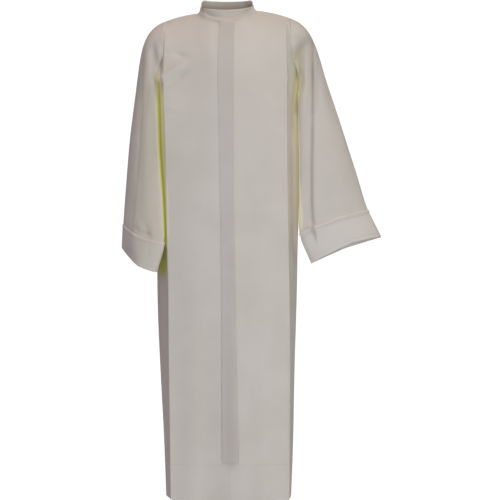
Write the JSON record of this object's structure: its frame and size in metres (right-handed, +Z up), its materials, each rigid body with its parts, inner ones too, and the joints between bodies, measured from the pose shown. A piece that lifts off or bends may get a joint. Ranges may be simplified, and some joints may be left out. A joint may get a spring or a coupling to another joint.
{
  "type": "alb robe",
  "caption": "Full-length white liturgical robe with stand collar, concealed front closing, wide sleeves and deep turned-up cuffs, hollow and filled out as worn.",
  "frame": {"origin": "base of the neck, midway between the front and back of the neck seam, where the wearer's neck and shoulders hold the robe up", "axes": "+Z up, the front faces -Y, the wearer's left is +X"},
  "size_m": [0.7775, 0.2927, 1.4811],
  "materials": {
    "cloth": "smooth matt ivory polyester with a faint sheen",
    "doubled_cloth": "two layers of the same ivory polyester"
  },
  "bodies": {
    "root": {"front_right": "cloth", "front_left": "cloth", "back": "cloth", "sleeve_right": "cloth", "sleeve_left": "cloth", "cuff_right": "doubled_cloth", "cuff_left": "doubled_cloth", "collar": "doubled_cloth", "placket": "doubled_cloth"}
  },
  "joints": []
}
